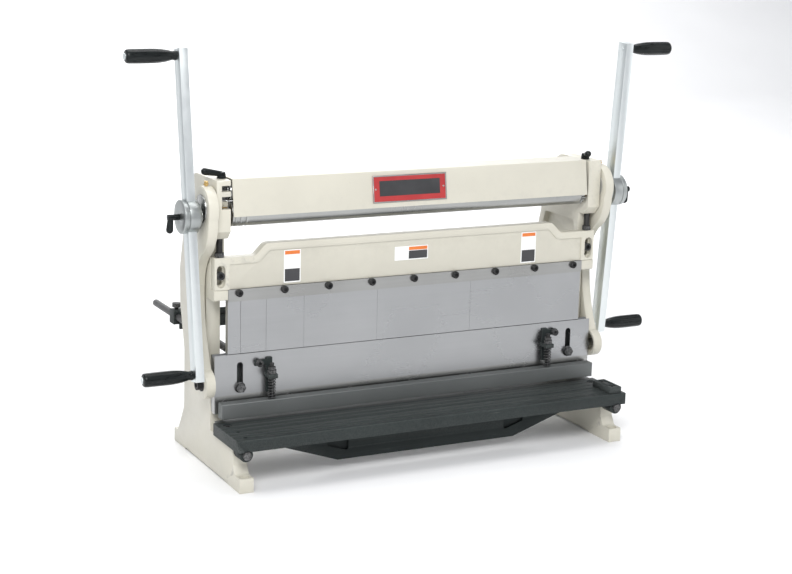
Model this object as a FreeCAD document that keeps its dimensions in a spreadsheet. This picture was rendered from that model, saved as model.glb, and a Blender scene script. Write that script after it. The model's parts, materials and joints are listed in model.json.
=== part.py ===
"""Combination sheet metal brake, shear and slip roll with a 762 mm bed.

Millimetres.  X runs along the bed, Y from the front of the machine to its back, Z up.
The origin is on the floor at the middle of the four feet.
"""
import FreeCAD, Part
import math
import os
import re
import Sketcher

Vector = FreeCAD.Vector
Rotation = FreeCAD.Rotation
Placement = FreeCAD.Placement

doc = FreeCAD.newDocument("sheet_metal_brake")
sheet = doc.addObject("Spreadsheet::Sheet", "Size")

# ---------------------------------------------------------------- driving dimensions
DIMENSIONS = {
    # side frames and feet
    "bed_length": 762.0, "bed_gap": 0.4, "frame_width": 27.0, "web_recess": 12.0, "foot_half": 172.5,
    "toe_height": 27.0, "foot_relief": 3.0, "seat_height": 77.0, "front_face": -24.5, "upright_face": -3.0, "head_front": -56.0,
    "head_bottom": 441.0, "head_top": 549.5, "lug_top": 345.8, "lug_height": 20.0, "toe_hole": 5.5,
    "toe_hole_offset": 161.0, "lug_front": -171.0, "lug_height_z": 70.0, "lug_radius": 12.5,
    # table, lower blade and side fence
    "table_half": 414.0, "table_front": -175.7, "table_thick": 22.5, "table_skin": 14.0, "blade_thick": 12.0,
    "shear_plane": -42.6, "shear_gap": 0.3, "rib_drop": 57.0, "fence_width": 27.0, "fence_height": 12.5,
    # crank shaft, rolls and gears
    "shaft_depth": -33.5, "shaft_height": 484.5, "journal": 13.0, "bush_wall": 3.0, "running": 0.05,
    "throw": 12.5, "eccentric": 26.0, "roll_radius": 23.2, "upper_radius": 16.3, "roll_spacing": 40.0,
    "upper_setback": 6.0, "roll_half": 377.0, "gear_width": 9.0, "gear_module": 2.0, "upper_journal": 9.0,
    "rear_radius": 18.0, "rear_depth": 26.0, "rear_height": 474.0,
    # connecting rods
    "rod_inner": 411.0, "rod_width": 18.0, "strap_radius": 41.0, "eye_radius": 27.0, "pin_depth": -33.8,
    "pin_height": 170.0, "pin_radius": 8.0, "eye_pocket": 21.5, "pocket_depth": 14.0,
    "rod_bend": 290.0, "rod_shank": 34.0,
    # crank hubs, bars and grips
    "hub_inner": 436.0, "hub_length": 34.5, "hub_radius": 31.0, "bar_width": 16.0, "bar_depth": 28.0,
    "bar_half": 299.0, "bar_centre": 452.0, "grip_reach": 286.6, "grip_length": 95.0, "grip_radius": 13.2,
    "left_tilt": 8.2, "right_tilt": -4.9, "grip_pin": 4.0,
    # ram
    "ram_half": 407.0, "ram_thick": 17.6, "ram_bottom": 145.5, "ram_top": 222.5, "vee_depth": 6.0,
    "slot_offset": 357.0, "slot_width": 12.0, "slot_travel": 42.0, "guide_height": 159.0,
    "upper_blade_bottom": 112.0, "casting_half": 338.0,
    # hold-down
    "hold_half": 402.0, "hold_front": -69.0, "hold_thick": 21.0, "hold_bottom": 107.7, "hold_top": 136.1,
    "station": 300.0, "stud_depth": -59.0, "stud_radius": 4.0, "ear_bottom": 176.0, "ear_thick": 8.0,
    "spring_radius": 6.6, "spring_wire": 1.9, "spring_turns": 7.0,
    # die beam and fingers
    "beam_half": 407.5, "beam_front": -44.4, "beam_back": -24.9, "beam_bottom": 346.1, "beam_end_top": 406.0,
    "beam_mid_top": 427.5, "finger_front": -41.4, "finger_tip": 217.2, "strip_bottom": 323.0,
    "strip_thick": 3.2, "bolt_pitch": 90.0, "bolt_height": 338.5, "beam_slot": 395.0, "inch": 25.4,
    # roll cover
    "cover_half": 376.3, "cover_bottom": 482.8, "cover_top": 551.0, "cover_wall": 2.0, "cover_foot": -60.0,
    "cover_brow": -50.0, "cover_back": 8.0, "hinge_height": 545.0, "hinge_pin": 3.0,
    # back gauge
    "gauge_offset": 370.0, "gauge_height": 226.0, "gauge_radius": 7.0, "gauge_length": 405.0, "gauge_start": -15.0,
    "gauge_bar_depth": 252.0,
}

INNER = "(bed_length / 2 + bed_gap)"
OUTER = "(bed_length / 2 + bed_gap + frame_width)"
MIDDLE = "(bed_length / 2 + bed_gap + frame_width / 2)"
TABLE_TOP = "(seat_height + table_thick)"
BLADE_BACK = "(shear_plane - shear_gap)"
STRAP_HEIGHT = "(shaft_height + throw)"
UPPER_DEPTH = "(shaft_depth + upper_setback)"
UPPER_HEIGHT = "(shaft_height + sqrt(roll_spacing^2 - upper_setback^2))"
RAM_BACK = "(shear_plane + ram_thick)"

for row, (alias, number) in enumerate(DIMENSIONS.items(), start=1):
    sheet.set(f"A{row}", alias)
    sheet.set(f"B{row}", str(number))
    sheet.setAlias(f"B{row}", alias)
doc.recompute()

AXIS_TURN = {
    "x": Rotation(Vector(0, 1, 0), 90),
    "y": Rotation(Vector(1, 0, 0), -90),
    "z": Rotation(),
}


# ---------------------------------------------------------------- helpers
def full(text):
    """Return an expression with every sheet alias in it made into a reference to the sheet."""
    def reference(match):
        word = match.group(0)
        return "Size." + word if word in DIMENSIONS else word
    return re.sub(r"[A-Za-z_]+[A-Za-z_0-9]*", reference, str(text))


def number(text):
    return float(sheet.evalExpression(full(text)))


def bind(item, **expressions):
    for name, text in expressions.items():
        item.setExpression(name, full(text))
    return item


def move(item, x=0, y=0, z=0, turn=None):
    """Put an object at a place given by expressions, turned by a fixed rotation."""
    item.Placement = Placement(Vector(), turn or Rotation())
    for name, text in zip("xyz", (x, y, z)):
        item.setExpression("Placement.Base." + name, full(text))
    return item


def box(x, y, z):
    """A box between two expressions along each axis."""
    item = doc.addObject("Part::Box", "block")
    bind(item, Length=f"({x[1]}) - ({x[0]})", Width=f"({y[1]}) - ({y[0]})", Height=f"({z[1]}) - ({z[0]})")
    return move(item, x[0], y[0], z[0])


def cylinder(axis, start, length, radius):
    """A cylinder that starts at a point and runs along +X, +Y or +Z."""
    item = doc.addObject("Part::Cylinder", "round")
    bind(item, Radius=radius, Height=length)
    return move(item, *start, turn=AXIS_TURN[axis])


def hexagon(axis, start, length, radius):
    """A hexagonal prism that starts at a point; radius is across the corners."""
    item = doc.addObject("Part::Prism", "hexagon")
    item.Polygon = 6
    bind(item, Circumradius=radius, Height=length)
    return move(item, *start, turn=AXIS_TURN[axis])


def cone(axis, start, length, radius, end_radius):
    item = doc.addObject("Part::Cone", "taper")
    bind(item, Radius1=radius, Radius2=end_radius, Height=length)
    return move(item, *start, turn=AXIS_TURN[axis])


def fuse(*items):
    item = doc.addObject("Part::MultiFuse", "joined")
    item.Shapes = list(items)
    item.Refine = True
    return item


def cut(base, *tools):
    item = doc.addObject("Part::Cut", "cut")
    item.Base = base
    item.Tool = tools[0] if len(tools) == 1 else fuse(*tools)
    return item


def group(*items):
    """Separate solids that share one node."""
    item = doc.addObject("Part::Compound", "group")
    item.Links = list(items)
    return item


def mirror(source):
    """The same piece on the other side of the machine's middle plane."""
    item = doc.addObject("Part::Mirroring", "mirrored")
    item.Source = source
    item.Normal = Vector(1, 0, 0)
    return item


def both(source):
    return group(source, mirror(source))


def body(name):
    return doc.addObject("PartDesign::Body", name)


def arc_between(start, end, radius, side):
    """An arc from start to end that bulges to the left of its chord (side 1) or to the right (side -1)."""
    chord = end - start
    half = chord.Length / 2
    left = Vector(-chord.y, chord.x, 0).normalize()
    rise = radius - math.sqrt(max(radius * radius - half * half, 0))
    middle = start + chord * 0.5 + left * (side * rise)
    return Part.Arc(end, middle, start) if side > 0 else Part.Arc(start, middle, end)


def sketch(owner, plane, points, offset=0, closed=True):
    """A closed outline on one of the body's origin planes.

    A point is (u, v) for a straight edge that leaves it, or (u, v, radius, side) for an arc.
    Every corner is held by two dimensions bound to the sheet, and every arc by its radius.
    """
    item = owner.newObject("Sketcher::SketchObject", "outline")
    base = next(f for f in owner.Origin.OriginFeatures if f.Role == plane)
    item.AttachmentSupport = (base, "")
    item.MapMode = "FlatFace"
    item.setExpression("AttachmentOffset.Base.z", full(offset))
    corners = [Vector(number(p[0]), number(p[1]), 0) for p in points]
    ends = []
    for index, point in enumerate(points):
        start, end = corners[index], corners[(index + 1) % len(points)]
        if len(point) == 4:
            item.addGeometry(arc_between(start, end, number(point[2]), point[3]), False)
        else:
            item.addGeometry(Part.LineSegment(start, end), False)
        forward = item.Geometry[index].StartPoint.distanceToPoint(start) < 1e-6
        ends.append((1, 2) if forward else (2, 1))
    for index, point in enumerate(points):
        following = (index + 1) % len(points)
        item.addConstraint(Sketcher.Constraint("Coincident", index, ends[index][1], following, ends[following][0]))
    for index, point in enumerate(points):
        for kind, name, text in (("DistanceX", "u", point[0]), ("DistanceY", "v", point[1])):
            value = number(text)
            item.addConstraint(Sketcher.Constraint(kind, -1, 1, index, ends[index][0], value))
            item.renameConstraint(item.ConstraintCount - 1, f"{name}{index}")
            item.setExpression(f"Constraints.{name}{index}", full(text))
        if len(point) == 4:
            item.addConstraint(Sketcher.Constraint("Radius", index, number(point[2])))
            item.renameConstraint(item.ConstraintCount - 1, f"r{index}")
            item.setExpression(f"Constraints.r{index}", full(point[2]))
    return item


def circle(owner, plane, centre, radius, offset=0):
    """A circular outline whose centre and radius are bound to the sheet."""
    item = owner.newObject("Sketcher::SketchObject", "circle")
    base = next(f for f in owner.Origin.OriginFeatures if f.Role == plane)
    item.AttachmentSupport = (base, "")
    item.MapMode = "FlatFace"
    item.setExpression("AttachmentOffset.Base.z", full(offset))
    middle = Vector(number(centre[0]), number(centre[1]), 0)
    item.addGeometry(Part.Circle(middle, Vector(0, 0, 1), number(radius)), False)
    for kind, name, text in (("DistanceX", "u", centre[0]), ("DistanceY", "v", centre[1])):
        item.addConstraint(Sketcher.Constraint(kind, -1, 1, 0, 3, number(text)))
        item.renameConstraint(item.ConstraintCount - 1, name)
        item.setExpression(f"Constraints.{name}", full(text))
    item.addConstraint(Sketcher.Constraint("Radius", 0, number(radius)))
    item.renameConstraint(item.ConstraintCount - 1, "r")
    item.setExpression("Constraints.r", full(radius))
    return item


def pad(owner, profile, length, reverse=False):
    item = owner.newObject("PartDesign::Pad", "pad")
    item.Profile = profile
    item.Reversed = reverse
    bind(item, Length=length)
    doc.recompute()
    return item


def pocket(owner, profile, depth, reverse=False):
    """Cut a pocket and check that it took material away."""
    before = owner.Shape.Volume
    item = owner.newObject("PartDesign::Pocket", "pocket")
    item.Profile = profile
    item.Reversed = reverse
    bind(item, Length=depth)
    doc.recompute()
    if owner.Shape.Volume >= before - 1:
        raise RuntimeError("a pocket in " + owner.Name + " cut nothing")
    return item


def revolve(owner, profile):
    item = owner.newObject("PartDesign::Revolution", "turned")
    item.Profile = profile
    item.ReferenceAxis = (profile, ["H_Axis"])
    item.Angle = 360
    doc.recompute()
    return item


def round_edges(owner, radius, chosen):
    """Fillet the edges of a body's tip that the test function picks."""
    tip = owner.Tip
    names = [f"Edge{i}" for i, edge in enumerate(tip.Shape.Edges, start=1) if chosen(edge)]
    item = owner.newObject("PartDesign::Fillet", "rounding")
    item.Base = (tip, names)
    bind(item, Radius=radius)
    doc.recompute()
    return item


def along(axis, *places):
    """A test for straight edges parallel to an axis that pass through one of the given places."""
    wanted = [tuple(number(text) for text in place) for place in places]
    u, v = {"x": ("y", "z"), "y": ("x", "z"), "z": ("x", "y")}[axis]

    def test(edge):
        if len(edge.Vertexes) != 2:
            return False
        first, last = edge.Vertexes[0].Point, edge.Vertexes[1].Point
        if abs(getattr(last - first, u)) > 1e-6 or abs(getattr(last - first, v)) > 1e-6:
            return False
        return any(math.hypot(getattr(first, u) - a, getattr(first, v) - b) < 0.01 for a, b in wanted)
    return test


NODES = {}


def keep(name, item):
    """Record a finished sub-part under its own name."""
    item.Label = name
    NODES[name] = item
    return item


# ---------------------------------------------------------------- side frames
def side_frame():
    """Right-hand side casting: foot, upright and bearing head, with a recessed inner web."""
    frame = body("frame")
    outline = [
        ("-foot_half", 0), (-97, 0), (-97, "foot_relief"), (110, "foot_relief"), (110, 0), ("foot_half", 0),
        ("foot_half", "toe_height"), (152, "toe_height"), (117, 84), (114.5, 198), (137, 286), (139, 352),
        (118, 430), (66, "head_top"), ("head_front", "head_top"), ("head_front", 456), (-42, "head_bottom"),
        ("front_face", "head_bottom"), ("front_face", "lug_top"), (-44, "lug_top"),
        (-44, "lug_top - lug_height"), ("upright_face", "lug_top - lug_height"),
        ("upright_face", 196), ("front_face", 184), ("front_face", "seat_height"),
        (-139, "seat_height"), (-139, 45), (-149, "toe_height"), ("-foot_half", "toe_height"),
    ]
    pad(frame, sketch(frame, "YZ_Plane", outline, INNER), "frame_width")
    round_edges(frame, 34, along("x", (117, 84), (114.5, 198), (137, 286), (139, 352), (118, 430), (66, "head_top")))
    round_edges(frame, 7, along("x", (152, "toe_height"), (-149, "toe_height"), (-139, 45)))
    round_edges(frame, 3, along("x", ("foot_half", "toe_height"), ("-foot_half", "toe_height"), (-44, "lug_top"),
                                (-44, "lug_top - lug_height")))
    lower = [(12, 95), (98, 95), (98, 200), (108, 228), (12, 298)]
    upper = [(-8, 334), (112, 249), (122, 300), (122, 350), (102, 424), (-8, 424)]
    for window in (lower, upper):
        pocket(frame, sketch(frame, "YZ_Plane", window, INNER), "web_recess", reverse=True)
        round_edges(frame, 9, along("x", *window))
    return frame


def frame_extras():
    """Cast lug on the frame: the ram's guide block."""
    guide = box(("slot_offset - 15", INNER), ("front_face", 6), ("guide_height - 21", "guide_height + 21"))
    return [guide]


def frame_cuts():
    """Bores, slots and windows in the frame."""
    cuts = [
        cylinder("x", ("rod_inner - 60", "shaft_depth", "shaft_height"), 60, "journal + bush_wall"),
        cylinder("y", ("slot_offset", "front_face - 1", "guide_height"), 40, "5.05"),
        cylinder("y", (MIDDLE, "lug_front", "lug_height_z"), 60, 5.05),
        cylinder("y", ("beam_slot", "front_face - 1", 372), 30, 5.05),
        # slideway of the upper roll block and its screw
        box((f"{INNER} - 1", f"{INNER} + 14"), (f"{UPPER_DEPTH} - 13.3", f"{UPPER_DEPTH} + 13.3"), (509, 541)),
        cylinder("z", (f"{INNER} + 7", UPPER_DEPTH, 530), 30, 5.05),
        # slideway of the rear roll block and the bore of its adjusting screw
        box((f"{INNER} - 1", f"{INNER} + 16"), ("rear_depth - 28.3", "rear_depth + 16.3"),
            ("rear_height - 14.3", "rear_height + 14.3")),
        cylinder("y", (f"{INNER} + 7.5", "rear_depth + 10", "rear_height"), 120, 6.05),
        # hinge of the roll cover
        cylinder("x", (f"{INNER} - 1", "cover_back - 5", "hinge_height"), 13, "hinge_pin + running"),
        # bore that the beam's jack screw rises into
        cylinder("z", (MIDDLE, "(beam_front + beam_back) / 2", "head_bottom - 1"), 18, 6.6),
    ]
    for end in ("toe_hole_offset", "-toe_hole_offset"):
        cuts.append(cylinder("z", (MIDDLE, end, -1), 40, "toe_hole"))
        cuts.append(cylinder("z", (MIDDLE, end, "toe_height - 4"), 10, 9.5))
    return cuts


right_frame = cut(fuse(side_frame(), *frame_extras()), *frame_cuts())
keep("right_side_frame", right_frame)
# the left head has two windows in front of the roll block, for oiling and for setting the screw
windows = [box((f"-({INNER} + 17)", f"-({INNER} - 1)"), ("head_front - 1", f"{UPPER_DEPTH} - 13"), span)
           for span in ((497, 520), (529, 540))]
keep("left_side_frame", cut(mirror(right_frame), *windows))

bush = cut(cylinder("x", (f"{INNER} + 0.5", "shaft_depth", "shaft_height"), "frame_width - 0.5", "journal + bush_wall"),
           cylinder("x", (f"{INNER} - 1", "shaft_depth", "shaft_height"), 40, "journal + running"))
keep("shaft_bushes", both(bush))


# ---------------------------------------------------------------- table, lower blade, fence and tie bar
def table_casting():
    """Flat ribbed table: a thick skin, deep end pads and a trapezoid rib below."""
    top = body("table_body")
    front, back = "table_front", f"({BLADE_BACK} - blade_thick)"
    outline = [(front, "seat_height"), (back, "seat_height"), (back, TABLE_TOP), (front, TABLE_TOP)]
    pad(top, sketch(top, "YZ_Plane", outline, "-table_half"), "2 * table_half")
    round_edges(top, 2, along("x", (front, TABLE_TOP)))
    inner_x, ends = "(bed_length / 2 - 24)", "table_skin"
    hollow = box((f"-{inner_x}", inner_x), (f"{front} + 14", f"{back} - 12"),
                 ("seat_height - 1", f"{TABLE_TOP} - {ends}"))
    rib = body("table_rib")
    shape = [(-372, 82), (-190, "seat_height - rib_drop"), (190, "seat_height - rib_drop"), (372, 82)]
    pad(rib, sketch(rib, "XZ_Plane", shape, 118), 16, reverse=True)
    for side in (-1, 1):
        hole = [(side * 168, 36), (side * 212, 50), (side * 212, 70), (side * 168, 70)]
        pocket(rib, sketch(rib, "XZ_Plane", hole, 118), 6)
        round_edges(rib, 5, along("y", *hole))
    seat = cut(top, hollow)
    cuts = []
    for step in range(5):
        groove = box(("-table_half - 1", "table_half + 1"), (f"{-160 + 19 * step}", f"{-158.4 + 19 * step}"),
                     (f"{TABLE_TOP} - 0.8", f"{TABLE_TOP} + 1"))
        cuts.append(groove)
    for x in (f"-{MIDDLE}", MIDDLE):
        cuts.append(cylinder("z", (x, -78, "seat_height - 1"), 40, 5.05))
        cuts.append(cylinder("z", (x, -78, f"{TABLE_TOP} - 10"), 20, 8.3))
        cuts.append(cylinder("y", (x, "lug_front - 1", "lug_height_z"), 40, 5.05))
        cuts.append(cylinder("y", (x, "lug_front - 7", "lug_height_z"), 7, 9.2))
    for y in (-122, -158):
        cuts.append(cylinder("z", (-392, y, f"{TABLE_TOP} - 12"), 20, 4))
        cuts.append(cylinder("z", (392.5, y, f"{TABLE_TOP} - 12"), 20, 4))
    lugs = both(cylinder("y", (MIDDLE, "lug_front", "lug_height_z"), "-139.3 - (lug_front)", "lug_radius"))
    return cut(fuse(seat, rib, lugs), *cuts)


keep("table", table_casting())

lower_blade = box(("-ram_half", "ram_half"), (f"{BLADE_BACK} - blade_thick", BLADE_BACK),
                  (f"{TABLE_TOP} - 20", TABLE_TOP))
blade_screws = []
for index in range(7):
    blade_screws.append(cylinder("y", (f"{(index - 3) * 127}", f"{BLADE_BACK} - blade_thick", f"{TABLE_TOP} - 13"),
                                 "blade_thick - 0.5", 4))
lower_holes = [cylinder("y", (f"{(index - 3) * 127}", f"{BLADE_BACK} - 14", f"{TABLE_TOP} - 13"), 20, 4)
               for index in range(7)]
keep("lower_shear_blade", cut(lower_blade, *lower_holes))

fence = box((379, "379 + fence_width"), (-171, -109), (TABLE_TOP, f"{TABLE_TOP} + fence_height"))
fence_tools = []
fence_screws = []
for y in (-122, -158):
    fence_tools.append(cylinder("z", (392.5, y, f"{TABLE_TOP} - 1"), 30, 4))
    fence_tools.append(cylinder("z", (392.5, y, f"{TABLE_TOP} + fence_height - 7.5"), 10, 6.6))
    shank = cylinder("z", (392.5, y, f"{TABLE_TOP} - 11"), 18, 3.95)
    head = cylinder("z", (392.5, y, f"{TABLE_TOP} + fence_height - 7.4"), 6, 6.2)
    socket = hexagon("z", (392.5, y, f"{TABLE_TOP} + fence_height - 4.4"), 5, 3.4)
    fence_screws.append(cut(fuse(shank, head), socket))
keep("fence_block", cut(fence, *fence_tools))
keep("table_screws", group(*blade_screws, *fence_screws))

# bolts that hold the table to the frames: one through a lug at the front, one from above at the back
front_bolt = fuse(hexagon("y", (MIDDLE, "lug_front - 6", "lug_height_z"), 6, 8.4),
                  cylinder("y", (MIDDLE, "lug_front - 0.5", "lug_height_z"), 56, 5))
back_bolt = cut(fuse(cylinder("z", (MIDDLE, -78, "seat_height + 0.2"), 15, 5),
                     cylinder("z", (MIDDLE, -78, f"{TABLE_TOP} - 9.8"), 8, 8)),
                hexagon("z", (MIDDLE, -78, f"{TABLE_TOP} - 6"), 6, 4.6))
tie = cut(box((f"-{INNER}", INNER), (64, 92), (36, 88)), box((-370, 370), (70, 93), (42, 82)))
keep("rear_tie_bar", tie)
keep("frame_bolts", group(both(front_bolt), both(back_bolt)))


# ---------------------------------------------------------------- crank shaft, rolls and gears
def gear(teeth, start, depth, height, bore, phase):
    """Spur gear with straight-flanked teeth, turned about an axis along X."""
    pitch = number("gear_module") * teeth / 2
    module = number("gear_module")
    points = []
    for tooth in range(teeth):
        centre = 360.0 / teeth * tooth + phase
        step = 360.0 / teeth
        for share, radius in ((-0.34, pitch - 1.25 * module), (-0.20, pitch), (-0.10, pitch + module),
                              (0.10, pitch + module), (0.20, pitch), (0.34, pitch - 1.25 * module)):
            angle = math.radians(centre + share * step)
            points.append(Vector(0, radius * math.cos(angle), radius * math.sin(angle)))
    wire = Part.makePolygon(points + [points[0]])
    solid = Part.Face(wire).extrude(Vector(number("gear_width"), 0, 0))
    solid = solid.cut(Part.makeCylinder(number(bore), 40, Vector(-5, 0, 0), Vector(1, 0, 0)))
    item = doc.addObject("Part::Feature", "gear")
    item.Shape = solid
    return move(item, start, depth, height)


def roll_profile(stops):
    """Half outline of a turned part from (x, radius) steps."""
    points = [(stops[0][0], 0)]
    for x, radius in stops:
        points.append((x, radius))
    points.append((stops[-1][0], 0))
    return points


GEAR_START = "(roll_half - gear_width - 0.5)"


def lower_roll():
    """Driven roll with its journals; three wire grooves at the left end."""
    shaft = body("lower_roll_body")
    end, face_end = "(bar_centre - bar_width / 2 - 0.3)", f"({GEAR_START} - 1.5)"
    stops = [(f"-{end}", "journal"), ("-roll_half", "journal"), ("-roll_half", "roll_radius")]
    for centre, width in ((-371, 3.4), (-361, 4.2), (-349.5, 5.2)):
        stops += [(centre - width / 2, "roll_radius"), (centre, f"roll_radius - {width / 2}"),
                  (centre + width / 2, "roll_radius")]
    stops += [(face_end, "roll_radius"), (face_end, "journal"), (end, "journal")]
    revolve(shaft, sketch(shaft, "XY_Plane", roll_profile(stops)))
    return move(shaft, 0, "shaft_depth", "shaft_height")


mesh_angle = math.degrees(math.acos(number("upper_setback / roll_spacing")))
eccentric = cylinder("x", ("rod_inner - 1.6", "shaft_depth", STRAP_HEIGHT), "rod_width + 3.2", "eccentric")
lower_gear = gear(21, GEAR_START, "shaft_depth", "shaft_height", "journal - 1", mesh_angle)
upper_gear = gear(19, GEAR_START, UPPER_DEPTH, UPPER_HEIGHT, "upper_journal - 1", mesh_angle + 180 + 180 / 19)
keep("lower_roll", fuse(lower_roll(), lower_gear, both(eccentric)))


def upper_roll():
    roll = body("upper_roll_body")
    end, face_end = f"({INNER} + 12.5)", f"({GEAR_START} - 1.5)"
    stops = [(f"-{end}", "upper_journal"), ("-roll_half", "upper_journal"), ("-roll_half", "upper_radius"),
             (face_end, "upper_radius"), (face_end, "upper_journal"), (end, "upper_journal")]
    revolve(roll, sketch(roll, "XY_Plane", roll_profile(stops)))
    return move(roll, 0, UPPER_DEPTH, UPPER_HEIGHT)


keep("upper_roll", fuse(upper_roll(), upper_gear))


def rear_roll():
    """Hollow roll that turns on a fixed axle."""
    roll = body("rear_roll_body")
    stops = [("-roll_half", "rear_radius"), ("roll_half", "rear_radius")]
    revolve(roll, sketch(roll, "XY_Plane", roll_profile(stops)))
    bore = cylinder("x", ("-roll_half - 1", 0, 0), "2 * roll_half + 2", "upper_journal + running")
    return move(group(cut(roll, bore)), 0, "rear_depth", "rear_height")


keep("rear_roll", rear_roll())

upper_block = cut(box((f"{INNER} + 0.3", f"{INNER} + 13.5"), (f"{UPPER_DEPTH} - 13", f"{UPPER_DEPTH} + 13"),
                      (f"{UPPER_HEIGHT} - 13", f"{UPPER_HEIGHT} + 13")),
                  cylinder("x", (f"{INNER} - 1", UPPER_DEPTH, UPPER_HEIGHT), 30, "upper_journal + running"))
keep("upper_roll_blocks", both(upper_block))

rear_block = box((f"{INNER} + 0.3", f"{INNER} + 15.5"), ("rear_depth - 13.5", "rear_depth + 15.5"),
                 ("rear_height - 14", "rear_height + 14"))
rear_axle = cylinder("x", (f"-{INNER} - 5", "rear_depth", "rear_height"), f"2 * {INNER} + 10", "upper_journal")
keep("rear_roll_blocks", fuse(rear_block, mirror(rear_block), rear_axle))

adjuster = fuse(cylinder("y", (f"{INNER} + 7.5", "rear_depth + 15.5", "rear_height"), 84, 6),
                cylinder("y", (f"{INNER} + 7.5", "rear_depth + 94", "rear_height"), 20, 13))
keep("rear_roll_adjusters", both(adjuster))


# ---------------------------------------------------------------- connecting rods
def connecting_rod():
    """Curved rod: a strap round the eccentric, a shank that bows to the back, and an eye over the ram pin."""
    rod = body("rod_body")
    shank = [
        ("pin_depth - 11", "pin_height + 13", "rod_bend", -1), ("shaft_depth + 0.7", "shaft_height - 19.5"),
        ("shaft_depth + 33.7", "shaft_height - 9.5", "rod_bend + rod_shank", 1), ("pin_depth + 25.3", "pin_height + 8"),
    ]
    pad(rod, sketch(rod, "YZ_Plane", shank, "rod_inner"), "rod_width")
    flare = [
        ("shaft_depth - 36.5", "shaft_height - 1.5", 80, -1), ("shaft_depth - 1.5", "shaft_height - 73.5", 80, 1),
        ("shaft_depth + 31", "shaft_height - 137"), ("shaft_depth + 34", "shaft_height - 40"),
    ]
    pad(rod, sketch(rod, "YZ_Plane", flare, "rod_inner"), "rod_width")
    pad(rod, circle(rod, "YZ_Plane", ("shaft_depth", STRAP_HEIGHT), "strap_radius", "rod_inner"), "rod_width")
    pad(rod, circle(rod, "YZ_Plane", ("pin_depth", "pin_height"), "eye_radius", "rod_inner"), "rod_width")
    pocket(rod, circle(rod, "YZ_Plane", ("shaft_depth", STRAP_HEIGHT), "eccentric + running", "rod_inner"),
           "rod_width", reverse=True)
    pocket(rod, circle(rod, "YZ_Plane", ("pin_depth", "pin_height"), "eye_pocket", "rod_inner"),
           "pocket_depth", reverse=True)
    return rod


right_rod = connecting_rod()
keep("right_connecting_rod", right_rod)
keep("left_connecting_rod", mirror(right_rod))

rod_bolt = fuse(cylinder("x", ("rod_inner + rod_width", "pin_depth", "pin_height"), 2.2, 13),
                cylinder("x", ("rod_inner + rod_width + 2", "pin_depth", "pin_height"), 9, 9.8))
rod_bolt = cut(rod_bolt, hexagon("x", ("rod_inner + rod_width + 6", "pin_depth", "pin_height"), 8, 5.2))
keep("right_rod_bolt", rod_bolt)
keep("left_rod_bolt", mirror(rod_bolt))

oiler = fuse(cylinder("z", ("rod_inner + rod_width / 2", "shaft_depth", f"{STRAP_HEIGHT} + strap_radius"), 4, 3),
             hexagon("z", ("rod_inner + rod_width / 2", "shaft_depth", f"{STRAP_HEIGHT} + strap_radius + 2"), 3, 5),
             cylinder("z", ("rod_inner + rod_width / 2", "shaft_depth", f"{STRAP_HEIGHT} + strap_radius + 5"), 4, 3.6))
keep("right_oiler", oiler)
keep("left_oiler", mirror(oiler))


# ---------------------------------------------------------------- crank hubs, bars and grips
def crank_hub(tilt, side):
    """Turned hub, bored for the shaft, with a rectangular hole that the bar slides through."""
    hub = body("hub")
    stops = [("hub_inner", "hub_radius - 6"), ("hub_inner + 4", "hub_radius - 6"), ("hub_inner + 5", "hub_radius"),
             ("hub_inner + hub_length - 11", "hub_radius"), ("hub_inner + hub_length - 10", "hub_radius - 2"),
             ("hub_inner + hub_length - 9", "hub_radius"), ("hub_inner + hub_length - 1.5", "hub_radius"),
             ("hub_inner + hub_length", "hub_radius - 1.5")]
    revolve(hub, sketch(hub, "XY_Plane", roll_profile(stops)))
    move(hub, 0, "shaft_depth", "shaft_height")
    turned = hub if side > 0 else mirror(hub)
    slot = doc.addObject("Part::Box", "bar_slot")
    bind(slot, Length="bar_width + 0.3", Width="bar_depth + 0.3", Height="4 * hub_radius")
    hole = doc.addObject("Part::Cylinder", "lever_hole")
    bind(hole, Radius="4", Height="20")
    angle = -number(tilt)
    turn = Rotation(Vector(1, 0, 0), angle)
    reach = turn.multVec(Vector(0, number("-(bar_depth + 0.3) / 2"), number("-2 * hub_radius")))
    move(slot, f"{side} * bar_centre - (bar_width + 0.3) / 2", f"shaft_depth + ({reach.y})",
         f"shaft_height + ({reach.z})", turn)
    move(hole, "bar_centre + 6" if side > 0 else "-bar_centre - 26", "shaft_depth", "shaft_height", AXIS_TURN["x"])
    bore_start = "hub_inner - 1" if side > 0 else "-hub_inner - 10"
    bore = cylinder("x", (bore_start, "shaft_depth", "shaft_height"), 11, "journal")
    return cut(turned, slot, hole, bore)


keep("crank_hubs", group(crank_hub("right_tilt", 1), crank_hub("left_tilt", -1)))


def along_bar(tilt, distance):
    """Expressions for a place on a crank bar, measured from the shaft along the bar."""
    return f"(shaft_depth + ({distance}) * sin({tilt}))", f"(shaft_height + ({distance}) * cos({tilt}))"


def crank_bar(tilt, side):
    """Flat steel bar with a riveted grip pin at each end."""
    bar = doc.addObject("Part::Box", "bar")
    bind(bar, Length="bar_width", Width="bar_depth", Height="2 * bar_half")
    turn = Rotation(Vector(1, 0, 0), -number(tilt))
    reach = turn.multVec(Vector(0, number("-bar_depth / 2"), number("-bar_half")))
    move(bar, f"{side} * bar_centre - bar_width / 2", f"shaft_depth + ({reach.y})", f"shaft_height + ({reach.z})", turn)
    pins = []
    for end in (1, -1):
        y, z = along_bar(tilt, f"{end} * grip_reach")
        root = "bar_centre - bar_width / 2 - 1.2"
        start = root if side > 0 else "-bar_centre - bar_width / 2 - grip_length - 2.5"
        pins.append(cylinder("x", (start, y, z), "bar_width + grip_length + 3.7", "grip_pin"))
        cap = "bar_centre + bar_width / 2 + grip_length + 0.6"
        start = cap if side > 0 else f"-({cap}) - 2"
        pins.append(cylinder("x", (start, y, z), 2, "grip_pin + 2"))
    return fuse(bar, *pins)


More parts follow.
